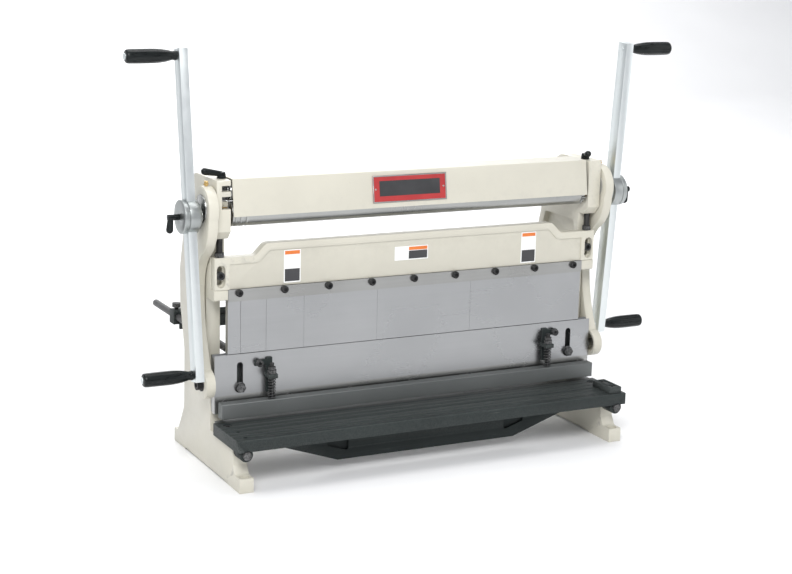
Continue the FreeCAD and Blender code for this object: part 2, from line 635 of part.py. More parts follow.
keep("right_crank_bar", crank_bar("right_tilt", 1))
keep("left_crank_bar", crank_bar("left_tilt", -1))


def grip(tilt, side, end):
    """Moulded grip that turns freely on its pin: a neck, a swelling body and a rounded outer end."""
    handle = body("grip")
    reach = "bar_centre + bar_width / 2 + 0.3"
    stops = [(0, "grip_radius - 4.5"), (5, "grip_radius - 4"), (7, "grip_radius - 5"), (12, "grip_radius - 4"),
             ("grip_length * 0.42", "grip_radius - 0.6"), ("grip_length * 0.55", "grip_radius"),
             ("grip_length - 6", "grip_radius"), ("grip_length - 1.5", "grip_radius - 1"),
             ("grip_length", "grip_radius - 3")]
    revolve(handle, sketch(handle, "XY_Plane", roll_profile(stops)))
    bore = cylinder("x", (-1, 0, 0), "grip_length + 2", "grip_pin + running")
    shell = cut(handle, bore)
    y, z = along_bar(tilt, f"{end} * grip_reach")
    if side < 0:
        shell = mirror(shell)
    return move(group(shell), reach if side > 0 else f"-({reach})", y, z)


for side, side_name, tilt in ((1, "right", "right_tilt"), (-1, "left", "left_tilt")):
    for end, end_name in ((1, "upper"), (-1, "lower")):
        keep(f"{side_name}_{end_name}_grip", grip(tilt, side, end))

hub_face = "(hub_inner + hub_length)"
screw_start = "(bar_centre + bar_width / 2 + 0.1)"
hub_lever = fuse(cylinder("x", (screw_start, "shaft_depth", "shaft_height"), f"{hub_face} + 3 - {screw_start}", 3.9),
                 cylinder("x", (f"{hub_face} + 0.4", "shaft_depth", "shaft_height"), 22, 5.4))


def lever_arm(x, depth, height, heading, length, root=5.0, tip=6.6):
    """Tapered arm with a rounded end that leaves a point in a given direction."""
    arm = body("arm")
    end = f"({length} + {tip})"
    stops = [(0, root), (length, tip), (f"{length} + {tip} * 0.5", f"{tip} * 0.87"),
             (f"{length} + {tip} * 0.87", f"{tip} * 0.5"), (end, f"{tip} * 0.12")]
    revolve(arm, sketch(arm, "XY_Plane", roll_profile(stops)))
    return move(arm, x, depth, height, Rotation(Vector(1, 0, 0), heading))


hub_lever = fuse(hub_lever, lever_arm(f"{hub_face} + 17", "shaft_depth", "shaft_height", Vector(0, 0.2, -1), 24))
keep("right_hub_lever", hub_lever)
keep("left_hub_lever", mirror(hub_lever))


# ---------------------------------------------------------------- ram
def ram_plate():
    """Two ground bars face to face, chamfered to form the V die; slotted for the guides, with a tongue below."""
    plate = body("ram_plate_body")
    valley = "(finger_front + blade_thick / 2)"
    outline = [
        ("shear_plane", "ram_bottom"), (f"{RAM_BACK} - 5.4", "ram_bottom"), (f"{RAM_BACK} - 5.4", "ram_bottom - 31"),
        (RAM_BACK, "ram_bottom - 31"), (RAM_BACK, "ram_top"), (f"{valley} + vee_depth", "ram_top"),
        (valley, "ram_top - vee_depth"), (f"{valley} - vee_depth", "ram_top"), ("shear_plane", "ram_top"),
    ]
    pad(plate, sketch(plate, "YZ_Plane", outline, "-ram_half"), "2 * ram_half")
    tools = []
    for side in ("", "-"):
        x, half = f"{side}slot_offset", "slot_width / 2"
        tools.append(box((f"{x} - {half}", f"{x} + {half}"), (-60, -10), ("guide_height", "guide_height + slot_travel")))
        tools.append(cylinder("y", (x, -60, "guide_height"), 50, half))
        tools.append(cylinder("y", (x, -60, "guide_height + slot_travel"), 50, half))
        start = "ram_half - 18" if side == "" else "-ram_half - 1"
        tools.append(cylinder("x", (start, "pin_depth", "pin_height"), 19, 6))
    for index in range(7):
        tools.append(cylinder("y", (f"{(index - 3) * 129}", -60, "ram_bottom - 13.8"), 50, 4))
    whole = cut(plate, *tools)
    length, height = ("-ram_half - 1", "ram_half + 1"), ("ram_bottom - 40", "ram_top + 1")
    behind = box(length, (valley, f"{RAM_BACK} + 1"), height)
    ahead = box(length, ("shear_plane - 1", valley), height)
    return group(cut(whole, behind), cut(whole, ahead))


keep("ram_plate", ram_plate())

ram_back = fuse(box(("-casting_half", "casting_half"), (RAM_BACK, f"{RAM_BACK} + 12"), (118, 208)),
                box(("-casting_half", "casting_half"), (RAM_BACK, f"{RAM_BACK} + 46"), (150, 164)))
ribs = [box((f"{x} - 5", f"{x} + 5"), (RAM_BACK, f"{RAM_BACK} + 40"), (122, 200)) for x in (-260, -130, 0, 130, 260)]
keep("ram_casting", fuse(ram_back, *ribs))

upper_blade = box(("-ram_half", "ram_half"), ("shear_plane", "shear_plane + blade_thick"),
                  ("upper_blade_bottom", "ram_bottom"))
blade_holes = [cylinder("y", (f"{(index - 3) * 129}", -60, "ram_bottom - 13.8"), 50, 4) for index in range(7)]
keep("upper_shear_blade", cut(upper_blade, *blade_holes))

ram_screws = []
for index in range(7):
    x, z = f"{(index - 3) * 129}", "ram_bottom - 13.8"
    screw = fuse(cylinder("y", (x, "shear_plane - 2.4", z), 2.4, 5.6), cylinder("y", (x, "shear_plane - 0.5", z), 16, 3.95))
    ram_screws.append(cut(screw, hexagon("y", (x, "shear_plane - 3", z), 2, 2.6)))

pin = fuse(cylinder("x", ("ram_half", "pin_depth", "pin_height"), 17, "pin_radius"),
           cylinder("x", ("ram_half - 16", "pin_depth", "pin_height"), 17, 5.95),
           cylinder("x", ("ram_half", "pin_depth", "pin_height"), 3, "pin_radius + 0.9"))
keep("ram_pins", both(pin))


# ---------------------------------------------------------------- hold-down
def hold_down_station():
    """Bracket on the ram: a strap flat on the plate, a side ear for its screw and an ear for the stud."""
    strap = box(("station - 6", "station + 6"), ("shear_plane - 4", "shear_plane"), (146, 212))
    side = box(("station - 6", "station + 29"), ("shear_plane - 4", "shear_plane"), (197.5, 208.5))
    ear = box(("station - 9", "station + 9"), ("stud_depth - 9", "shear_plane"), ("ear_bottom", "ear_bottom + ear_thick"))
    bore = cylinder("z", ("station", "stud_depth", "ear_bottom - 2"), 20, "stud_radius + 0.3")
    return cut(fuse(strap, side, ear), bore)


keep("hold_down_brackets", both(hold_down_station()))

bracket_screw = cylinder("y", ("station + 21", "shear_plane - 11", 203), 7, 6.8)
bracket_screw = cut(bracket_screw, hexagon("y", ("station + 21", "shear_plane - 12", 203), 4.5, 3.6))
keep("ram_screws", group(*ram_screws, both(bracket_screw)))

hold_bar = body("hold_bar_body")
bar_back = "(hold_front + hold_thick)"
pad(hold_bar, sketch(hold_bar, "YZ_Plane", [
    ("hold_front", "hold_bottom"), (bar_back, "hold_bottom"), (bar_back, "hold_top"), ("hold_front", "hold_top"),
], "-hold_half"), "2 * hold_half")
round_edges(hold_bar, 1.5, along("x", ("hold_front", "hold_top"), ("hold_front", "hold_bottom")))
bar_holes = [cylinder("z", (f"{side}station", "stud_depth", "hold_top - 14"), 20, "stud_radius") for side in ("", "-")]
keep("hold_down_bar", cut(hold_bar, *bar_holes))

stud = fuse(cylinder("z", ("station", "stud_depth", "hold_top - 14"), "ear_bottom + ear_thick + 20 - (hold_top - 14)",
                     "stud_radius"),
            hexagon("z", ("station", "stud_depth", "ear_bottom + ear_thick + 0.3"), 7, 9.2),
            hexagon("z", ("station", "stud_depth", "ear_bottom + ear_thick + 8"), 5, 7.6))
keep("hold_down_studs", both(stud))


def coil_spring():
    """Compression spring of square-section rings joined by a helix, standing on the hold-down bar."""
    low, high = number("hold_top") + 1.2, number("ear_bottom") - 1.2
    height = high - low
    radius, wire = number("spring_radius"), number("spring_wire") / 2
    helix = Part.makeHelix(height / number("spring_turns"), height, radius)
    section = Part.Wire(Part.makeCircle(wire, Vector(radius, 0, 0), Vector(0, 1, 0)))
    solid = Part.Wire(helix).makePipeShell([section], True, True)
    item = doc.addObject("Part::Feature", "spring")
    item.Shape = solid
    return move(item, "station", "stud_depth", low)


keep("hold_down_springs", both(coil_spring()))


# ---------------------------------------------------------------- die beam and fingers
def die_beam():
    """Cast beam: raised middle, S-curved shoulders, raised rim, end slots and a flange behind the fingers."""
    beam = body("beam_body")
    outline = [
        ("-beam_half", "beam_bottom"), ("beam_half", "beam_bottom"), ("beam_half", "beam_end_top"),
        (328, "beam_end_top"), (307, "beam_mid_top"), (-307, "beam_mid_top"), (-328, "beam_end_top"),
        ("-beam_half", "beam_end_top"),
    ]
    pad(beam, sketch(beam, "XZ_Plane", outline, "-beam_back"), "beam_back - beam_front")
    round_edges(beam, 13, along("y", (328, "beam_end_top"), (307, "beam_mid_top"), (-307, "beam_mid_top"),
                                (-328, "beam_end_top")))
    panel = [
        (-378, "beam_bottom - 1"), (378, "beam_bottom - 1"), (378, "beam_end_top - 13"), (321, "beam_end_top - 13"),
        (300, "beam_mid_top - 13"), (-300, "beam_mid_top - 13"), (-321, "beam_end_top - 13"),
        (-378, "beam_end_top - 13"),
    ]
    pocket(beam, sketch(beam, "XZ_Plane", panel, "-beam_front"), 2.5)
    round_edges(beam, 11, along("y", (321, "beam_end_top - 13"), (300, "beam_mid_top - 13"),
                                (-300, "beam_mid_top - 13"), (-321, "beam_end_top - 13")))
    flange = box((-378, 378), ("finger_front + blade_thick", "finger_front + blade_thick + 15"), (324, 372))
    shelf = box((-374, 374), ("beam_back - 1", 22), (374, 388))
    tools = []
    for side in ("", "-"):
        x = f"{side}beam_slot"
        for half, front, back in ((8.5, -50, -34.4), (5.5, -50, -20)):
            tools.append(box((f"{x} - {half}", f"{x} + {half}"), (front, back), ("358.5", "383.5")))
            for z in (358.5, 383.5):
                tools.append(cylinder("y", (x, front, z), back - front, half))
        tools.append(cylinder("z", (f"{side}{MIDDLE}", "(beam_front + beam_back) / 2", "beam_end_top - 8"), 20, 6))
    for index in range(9):
        tools.append(cylinder("y", (f"{index - 4} * bolt_pitch", -40, "bolt_height"), 40, 4))
    return cut(fuse(beam, flange, shelf), *tools)


keep("die_beam", die_beam())

clamp_bolt = cut(fuse(cylinder("y", ("beam_slot", "beam_front + 1", 372), 8.6, 7.8),
                      cylinder("y", ("beam_slot", "beam_front + 9", 372), 38, 5)),
                 hexagon("y", ("beam_slot", "beam_front", 372), 5, 4.6))
keep("beam_clamp_bolts", both(clamp_bolt))

jack = fuse(cylinder("z", (MIDDLE, "(beam_front + beam_back) / 2", "beam_end_top - 8"), 45, 5.95),
            hexagon("z", (MIDDLE, "(beam_front + beam_back) / 2", "beam_end_top + 0.3"), 8, 9.4))
keep("jack_screws", both(jack))

strip = box(("-bed_length / 2", "bed_length / 2"), ("finger_front - strip_thick", "finger_front"),
            ("strip_bottom", "beam_bottom - 0.4"))
strip_holes = [cylinder("y", (f"{index - 4} * bolt_pitch", -50, "bolt_height"), 20, 4) for index in range(9)]
keep("finger_clamp_strip", cut(strip, *strip_holes))

finger_bolts = []
for index in range(9):
    x, z = f"{index - 4} * bolt_pitch", "bolt_height"
    head = fuse(cylinder("y", (x, "finger_front - strip_thick - 4", z), 4, 7),
                cone("y", (x, "finger_front - strip_thick - 6", z), 2, 5.4, 7),
                cylinder("y", (x, "finger_front - strip_thick - 0.1", z), "strip_thick + blade_thick + 12", 3.95))
    finger_bolts.append(cut(head, hexagon("y", (x, "finger_front - strip_thick - 7", z), 4, 3.4)))
keep("finger_bolts", group(*finger_bolts))


def finger(start, width):
    """Bending finger with a 90 degree nose, drilled where a clamp bolt passes."""
    blade = body("finger")
    back, middle = "(finger_front + blade_thick)", "(finger_front + blade_thick / 2)"
    outline = [
        ("finger_front", "finger_tip + blade_thick / 2"), (f"{middle} - 0.8", "finger_tip + 0.8"),
        (f"{middle} + 0.8", "finger_tip + 0.8"), (back, "finger_tip + blade_thick / 2"),
        (back, "beam_bottom - 0.4"), ("finger_front", "beam_bottom - 0.4"),
    ]
    pad(blade, sketch(blade, "YZ_Plane", outline, f"{start} * inch - bed_length / 2 + 0.12"),
        f"{width} * inch - 0.24")
    low = number(f"{start} * inch - bed_length / 2")
    high = low + number(f"{width} * inch")
    holes = []
    for index in range(9):
        x = (index - 4) * number("bolt_pitch")
        if low - 4 < x < high + 4:
            holes.append(cylinder("y", (f"{index - 4} * bolt_pitch", -50, "bolt_height"), 30, 4))
    return cut(blade, *holes) if holes else group(blade)


position = 0
for width in (1, 2, 3, 6, 8, 10):
    keep(f"finger_{width}in", finger(position, width))
    position += width

plates = [
    box((-271, -237), ("beam_front + 1.7", "beam_front + 2.5"), (350, 412)),
    box((-42, 30), ("beam_front + 1.7", "beam_front + 2.5"), (375, 402)),
    box((238, 272), ("beam_front + 1.7", "beam_front + 2.5"), (350, 412)),
]
keep("label_plates", group(*plates))


# ---------------------------------------------------------------- ram guide bolts
guide = fuse(cylinder("y", ("slot_offset", "shear_plane - 1.8", "guide_height"), 1.6, 10.5),
             hexagon("y", ("slot_offset", "shear_plane - 8.5", "guide_height"), 7, 9.6),
             cylinder("y", ("slot_offset", "shear_plane - 2", "guide_height"), "-shear_plane + front_face + 2", 5.7),
             cylinder("y", ("slot_offset", "front_face - 1", "guide_height"), 26, 5))
keep("ram_guide_bolts", both(guide))


# ---------------------------------------------------------------- roll cover, its plate and clamp levers
def roll_cover():
    """Folded cover: a leaning front wall, a flat top and a short back lip, hung on two hinge pins."""
    cover = body("cover_body")
    inner_foot, inner_brow = "(cover_foot + cover_wall)", "(cover_brow + cover_wall)"
    outline = [
        ("cover_foot", "cover_bottom"), (inner_foot, "cover_bottom"), (inner_brow, "cover_top - cover_wall"),
        ("cover_back - cover_wall", "cover_top - cover_wall"), ("cover_back - cover_wall", 530),
        ("cover_back", 530), ("cover_back", "cover_top"), ("cover_brow", "cover_top"),
    ]
    pad(cover, sketch(cover, "YZ_Plane", outline, "-cover_half"), "2 * cover_half")
    round_edges(cover, 1.6, along("x", ("cover_brow", "cover_top"), ("cover_back", "cover_top")))
    knuckle = cylinder("x", ("cover_half - 14", "cover_back - 5", "hinge_height"), 14, 5)
    pin_item = cylinder("x", ("cover_half - 14", "cover_back - 5", "hinge_height"), "14 + 5.1 + 10", "hinge_pin")
    return fuse(cover, both(fuse(knuckle, pin_item)))


keep("roll_cover", roll_cover())

cover_lean = math.degrees(math.atan2(number("cover_brow - cover_foot"), number("cover_top - cover_bottom")))
badge = doc.addObject("Part::Box", "badge")
bind(badge, Length=156, Width=1.4, Height=51)
lean = Rotation(Vector(1, 0, 0), -cover_lean)
foot = 9.5
move(badge, -98, f"cover_foot - 1.45 + {foot} * ({number('cover_brow - cover_foot')}) / "
     f"({number('cover_top - cover_bottom')})", f"cover_bottom + {foot}", lean)
keep("name_plate", badge)


def clamp_lever(side):
    """Top lever that locks the upper roll block: a screw, a boss and an arm with a rounded end."""
    x = f"{side} * ({INNER} + 7)"
    screw = cylinder("z", (x, UPPER_DEPTH, 541), 12, 5)
    boss = cone("z", (x, UPPER_DEPTH, "head_top + 0.6"), 11, 8.5, 7)
    heading = Vector(-0.2, -1, 0.3) if side > 0 else Vector(-1, 0, 0.18)
    return fuse(screw, boss, lever_arm(x, UPPER_DEPTH, "head_top + 8", heading, 15 if side > 0 else 33))


keep("right_clamp_lever", clamp_lever(1))
keep("left_clamp_lever", clamp_lever(-1))


# ---------------------------------------------------------------- back gauge
rod = cylinder("y", ("gauge_offset", "gauge_start", "gauge_height"), "gauge_length", "gauge_radius")
keep("gauge_rods", both(rod))

holder = cut(box(("gauge_offset - 12", INNER), (98, 121), ("gauge_height - 15", "gauge_height + 18")),
             cylinder("y", ("gauge_offset", 90, "gauge_height"), 40, "gauge_radius"))
thumb = fuse(cylinder("z", ("gauge_offset", 110, "gauge_height + 18"), 7, 4),
             cylinder("z", ("gauge_offset", 110, "gauge_height + 24"), 8, 8.5))
keep("gauge_rod_clamps", both(fuse(holder, thumb)))

slider = box(("gauge_offset - 14", "gauge_offset + 10.5"), ("gauge_bar_depth", "gauge_bar_depth + 26"),
             ("gauge_height - 14", "gauge_height + 14"))
stop = box(("-gauge_offset", "gauge_offset"), ("gauge_bar_depth - 6", "gauge_bar_depth"),
           ("gauge_height - 23", "gauge_height + 14"))
bores = [cylinder("y", (f"{side}gauge_offset", "gauge_bar_depth - 20", "gauge_height"), 60, "gauge_radius + running")
         for side in ("", "-")]
keep("gauge_bar", cut(fuse(both(slider), stop), *bores))

lock = fuse(cylinder("z", ("gauge_offset", "gauge_bar_depth + 14", "gauge_height + 14"), 6, 4),
            cylinder("z", ("gauge_offset", "gauge_bar_depth + 14", "gauge_height + 19"), 8, 8.5))
keep("gauge_lock_screws", both(lock))


# ---------------------------------------------------------------- checks and export
doc.recompute()
for item in doc.Objects:
    if "Invalid" in item.State or "Error" in item.State:
        raise RuntimeError(f"{item.Label} {item.Name} did not recompute: {item.State}")
for name, item in NODES.items():
    if item.Shape.isNull() or not item.Shape.isValid():
        raise RuntimeError(f"{name} has no valid shape")
os.makedirs("parts", exist_ok=True)
for name, item in NODES.items():
    item.Shape.exportStep(f"parts/{name}.step")
print(len(NODES), "sub-parts written")
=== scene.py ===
"""Looks for the bench sheet metal brake.

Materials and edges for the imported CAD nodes, moulded grips, coil springs, plates with blank printed fields,
and the studio with its camera.
"""

import json
import math

import bmesh
import bpy
from mathutils import Matrix, Vector


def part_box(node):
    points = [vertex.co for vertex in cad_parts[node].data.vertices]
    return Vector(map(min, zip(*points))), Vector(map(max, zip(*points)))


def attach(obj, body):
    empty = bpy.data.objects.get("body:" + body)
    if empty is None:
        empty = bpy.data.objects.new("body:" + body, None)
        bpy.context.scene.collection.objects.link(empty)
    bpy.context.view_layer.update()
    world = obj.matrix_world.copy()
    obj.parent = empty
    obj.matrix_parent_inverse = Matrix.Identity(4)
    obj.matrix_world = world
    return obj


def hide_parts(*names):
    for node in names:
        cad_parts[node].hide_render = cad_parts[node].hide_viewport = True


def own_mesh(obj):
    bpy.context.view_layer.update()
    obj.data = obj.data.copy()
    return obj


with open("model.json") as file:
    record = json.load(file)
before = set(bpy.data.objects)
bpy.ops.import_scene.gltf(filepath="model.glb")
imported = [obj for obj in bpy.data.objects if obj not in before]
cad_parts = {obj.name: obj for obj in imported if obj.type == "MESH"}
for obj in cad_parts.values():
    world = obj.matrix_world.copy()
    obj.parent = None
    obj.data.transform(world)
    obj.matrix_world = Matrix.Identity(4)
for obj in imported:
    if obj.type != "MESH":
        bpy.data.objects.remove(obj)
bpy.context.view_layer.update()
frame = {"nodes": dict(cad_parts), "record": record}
nodes = frame["nodes"]

MM = 0.001


# ---------------------------------------------------------------- node graph helpers
class Graph:
    """Short calls for building one procedural material."""

    def __init__(self, name):
        self.material = bpy.data.materials.new(name)
        self.material.use_nodes = True
        self.tree = self.material.node_tree
        self.shader = self.tree.nodes["Principled BSDF"]
        self.place = self.tree.nodes.new("ShaderNodeTexCoord").outputs["Object"]

    def link(self, value, socket):
        """Join a socket to a socket, or set a plain value on it."""
        if isinstance(value, bpy.types.NodeSocket):
            self.tree.links.new(value, socket)
        else:
            socket.default_value = value

    def stretched(self, scale):
        """Object coordinates scaled along each axis: about that many noise cells in a metre."""
        node = self.tree.nodes.new("ShaderNodeMapping")
        node.inputs["Scale"].default_value = scale
        self.link(self.place, node.inputs["Vector"])
        return node.outputs["Vector"]

    def noise(self, scale, detail, rough, vector=None, distortion=0.0):
        """Cloudy noise from 0 to 1, with about scale cells in a metre, or scale 1 on stretched coordinates."""
        node = self.tree.nodes.new("ShaderNodeTexNoise")
        node.inputs["Scale"].default_value = scale
        node.inputs["Detail"].default_value = detail
        node.inputs["Roughness"].default_value = rough
        node.inputs["Distortion"].default_value = distortion
        self.link(vector or self.place, node.inputs["Vector"])
        return node.outputs["Fac"]

    def span(self, value, low, high, to_low, to_high):
        """Map a value from one range to another, clamped."""
        node = self.tree.nodes.new("ShaderNodeMapRange")
        self.link(value, node.inputs["Value"])
        for name, number in (("From Min", low), ("From Max", high), ("To Min", to_low), ("To Max", to_high)):
            node.inputs[name].default_value = number
        return node.outputs["Result"]

    def math(self, kind, first, second):
        node = self.tree.nodes.new("ShaderNodeMath")
        node.operation = kind
        self.link(first, node.inputs[0])
        self.link(second, node.inputs[1])
        return node.outputs["Value"]

    def mix(self, share, first, second):
        """Mix of two colours."""
        node = self.tree.nodes.new("ShaderNodeMix")
        node.data_type = "RGBA"
        self.link(share, node.inputs["Factor"])
        for value, socket in ((first, node.inputs[6]), (second, node.inputs[7])):
            self.link((*value, 1) if isinstance(value, tuple) else value, socket)
        return node.outputs[2]

    def edges(self, low=0.52, high=0.60):
        """1 along the outer edges of a piece, 0 on its faces."""
        geometry = self.tree.nodes.new("ShaderNodeNewGeometry")
        return self.span(geometry.outputs["Pointiness"], low, high, 0, 1)

    def hollows(self):
        """1 in the inner corners of a piece, 0 on its faces."""
        geometry = self.tree.nodes.new("ShaderNodeNewGeometry")
        return self.span(geometry.outputs["Pointiness"], 0.40, 0.49, 1, 0)

    def bump(self, *layers):
        """Stack height layers of (height, depth in metres)."""
        normal = None
        for height, depth in layers:
            node = self.tree.nodes.new("ShaderNodeBump")
            node.inputs["Distance"].default_value = depth
            node.inputs["Strength"].default_value = 1.0
            self.link(height, node.inputs["Height"])
            if normal is not None:
                self.link(normal, node.inputs["Normal"])
            normal = node.outputs["Normal"]
        self.link(normal, self.shader.inputs["Normal"])

    def finish(self, color, roughness, metallic=0.0, **sockets):
        """Set the shader and return the material; a socket's spaces are written as underscores."""
        self.link(color, self.shader.inputs["Base Color"])
        self.link(roughness, self.shader.inputs["Roughness"])
        self.shader.inputs["Metallic"].default_value = metallic
        for name, value in sockets.items():
            self.shader.inputs[name.replace("_", " ")].default_value = value
        return self.material


# ---------------------------------------------------------------- materials
def scaled(values, share):
    """Every number of a colour or of a stretch, times one share."""
    return tuple(value * share for value in values)


def paint(name, color, worn, grain_depth):
    """Thick machine paint over a casting: orange peel, cast grain, painted shade in the hollows, rubbed edges.
    """
    g = Graph(name)
    broad = g.noise(5, 4, 0.55)
    fine = g.noise(70, 5, 0.6)
    peel = g.noise(420, 2, 0.5)
    cast = g.noise(130, 4, 0.65)
    tint = g.mix(g.span(broad, 0.3, 0.7, 0, 1), scaled(color, 0.93), scaled(color, 1.04))
    specks = g.span(g.noise(260, 2, 0.4), 0.72, 0.80, 0, 0.25)
    tint = g.mix(specks, tint, scaled(color, 0.62))
    # Painted shade: the inner corners darkened towards 0.45 of the colour, more in some places than others.
    hollow_shade = g.math("MULTIPLY", g.hollows(), g.span(fine, 0.35, 0.65, 0.1, 0.5))
    tint = g.mix(hollow_shade, tint, scaled(color, 0.45))
    rub = g.math("MULTIPLY", g.edges(0.56, 0.66), g.span(fine, 0.5, 0.62, 0, 0.7))
    tint = g.mix(rub, tint, worn)
    g.bump((cast, grain_depth), (peel, 0.04 * MM), (broad, 0.5 * MM))
    return g.finish(tint, g.span(fine, 0.3, 0.7, 0.34, 0.48), Coat_Weight=0.25, Coat_Roughness=0.25)


def ground_steel(name, light, dark, stretch, rough=(0.22, 0.36), metallic=1.0):
    """Steel with fine grinding lines, finer along the larger numbers of stretch, and faint stains."""
    g = Graph(name)
    lines = g.noise(1, 3, 0.7, vector=g.stretched(stretch))
    coarse = g.noise(1, 2, 0.5, vector=g.stretched(scaled(stretch, 0.22)))
    cloud = g.noise(6, 2, 0.45)
    tone = g.math("ADD", g.math("MULTIPLY", lines, 0.10), g.math("MULTIPLY", coarse, 0.10))
    tone = g.math("ADD", tone, g.math("MULTIPLY", cloud, 0.80))
    tint = g.mix(g.span(tone, 0.32, 0.68, 0, 1), dark, light)
    stain = g.span(g.noise(1, 2, 0.5, vector=g.stretched((5, 12, 12))), 0.55, 0.80, 0, 0.15)
    tint = g.mix(stain, tint, scaled(dark, 0.72))
    g.bump((lines, 0.001 * MM),)
    return g.finish(tint, g.span(tone, 0.30, 0.70, *rough), metallic)


def turned_steel(name, light, dark, rough=(0.24, 0.34)):
    """Lathe-turned steel: fine rings round the X axis over a soft cloudy tone."""
    g = Graph(name)
    rings = g.noise(1, 2, 0.5, vector=g.stretched((900, 5, 5)))
    cloud = g.noise(6, 2, 0.45)
    tone = g.math("ADD", g.math("MULTIPLY", rings, 0.14), g.math("MULTIPLY", cloud, 0.86))
    tint = g.mix(g.span(tone, 0.38, 0.62, 0, 1), dark, light)
    g.bump((rings, 0.001 * MM),)
    return g.finish(tint, g.span(tone, 0.30, 0.70, *rough), 1.0)


def zinc(name):
    """Bright zinc plate over drawn bar: lengthwise die lines, a mottled bloom and a painted highlight along
    the edges.
    """
    g = Graph(name)
    lines = g.noise(1, 3, 0.6, vector=g.stretched((700, 700, 6)))
    bloom = g.noise(38, 5, 0.65, distortion=0.8)
    cloud = g.noise(7, 3, 0.5)
    tone = g.math("ADD", g.math("MULTIPLY", bloom, 0.5), g.math("MULTIPLY", cloud, 0.5))
    tint = g.mix(g.span(tone, 0.35, 0.65, 0, 1), (0.69, 0.735, 0.735), (0.75, 0.79, 0.79))
    # Painted highlight: the edges lightened towards pale zinc.
    tint = g.mix(g.math("MULTIPLY", g.edges(), 0.25), tint, (0.88, 0.89, 0.89))
    g.bump((lines, 0.004 * MM), (bloom, 0.004 * MM))
    return g.finish(tint, g.span(bloom, 0.3, 0.7, 0.36, 0.44), 1.0)


def iron(name, color, light):
    """Planed and painted cast iron: cutter lines along the bed, open grain, scuffs down to grey metal."""
    g = Graph(name)
    grain = g.noise(520, 4, 0.6)
    lines = g.noise(1, 2, 0.5, vector=g.stretched((3, 620, 620)))
    cloud = g.noise(8, 4, 0.6)
    tone = g.math("ADD", g.math("MULTIPLY", cloud, 0.6), g.math("MULTIPLY", lines, 0.4))
    tint = g.mix(g.span(tone, 0.36, 0.64, 0, 1), scaled(color, 0.8), scaled(color, 1.18))
    streaks = g.noise(1, 3, 0.6, vector=g.stretched((14, 160, 160)))
    scuff = g.math("MULTIPLY", g.span(streaks, 0.66, 0.74, 0, 0.35), g.span(cloud, 0.45, 0.6, 0, 1))
    tint = g.mix(scuff, tint, light)
    tint = g.mix(g.math("MULTIPLY", g.edges(), g.span(grain, 0.4, 0.6, 0.1, 0.5)), tint, light)
    g.bump((grain, 0.02 * MM), (lines, 0.01 * MM))
    return g.finish(tint, g.span(grain, 0.3, 0.7, 0.50, 0.64), 0.0, Specular_IOR_Level=0.22)


def black_oxide(name):
    """Blackened steel fasteners, rubbed bright on their edges."""
    g = Graph(name)
    grain = g.noise(300, 4, 0.6)
    cloud = g.noise(60, 3, 0.5)
    tint = g.mix(g.span(cloud, 0.35, 0.65, 0, 1), (0.010, 0.011, 0.012), (0.030, 0.029, 0.028))
    tint = g.mix(g.math("MULTIPLY", g.edges(), g.span(grain, 0.4, 0.6, 0.2, 0.8)), tint, (0.26, 0.26, 0.26))
    g.bump((grain, 0.04 * MM),)
    return g.finish(tint, g.span(grain, 0.3, 0.7, 0.42, 0.56), 0.1, Specular_IOR_Level=0.3)


def plastic(name):
    """Glossy black phenolic: faint flow marks and a pin-prick texture."""
    g = Graph(name)
    flow = g.noise(1, 3, 0.6, vector=g.stretched((30, 140, 140)), distortion=1.2)
    pits = g.noise(620, 2, 0.5)
    tint = g.mix(g.span(flow, 0.35, 0.65, 0, 1), (0.004, 0.0055, 0.0055), (0.012, 0.015, 0.015))
    g.bump((flow, 0.08 * MM), (pits, 0.02 * MM))
    gloss = g.span(flow, 0.3, 0.7, 0.24, 0.36)
    return g.finish(tint, gloss, Coat_Weight=0.1, Coat_Roughness=0.2, Specular_IOR_Level=0.2)


def brass(name, light, dark):
    """Turned brass or bronze with a patchy tarnish and a painted highlight along the edges."""
    g = Graph(name)
    rings = g.noise(1, 2, 0.6, vector=g.stretched((90, 90, 1500)))
    tarnish = g.noise(90, 4, 0.6)
    tint = g.mix(g.span(tarnish, 0.4, 0.65, 0, 1), light, dark)
    # Painted highlight: the edges lightened to a brighter copy of the clean metal colour.
    tint = g.mix(g.math("MULTIPLY", g.edges(), 0.6), tint, tuple(min(c * 1.3, 1) for c in light))
    g.bump((rings, 0.02 * MM),)
    return g.finish(tint, g.span(tarnish, 0.3, 0.7, 0.22, 0.42), 1.0)


def enamel(name, color, second):
    """Printed plate or field: two close shades of one ink under a thin clear coat."""
    g = Graph(name)
    dots = g.noise(900, 2, 0.5)
    cloud = g.noise(30, 3, 0.5)
    tint = g.mix(g.span(cloud, 0.3, 0.7, 0, 1), color, second)
    g.bump((dots, 0.01 * MM),)
    return g.finish(tint, g.span(dots, 0.3, 0.7, 0.3, 0.42), Coat_Weight=0.3, Coat_Roughness=0.15)


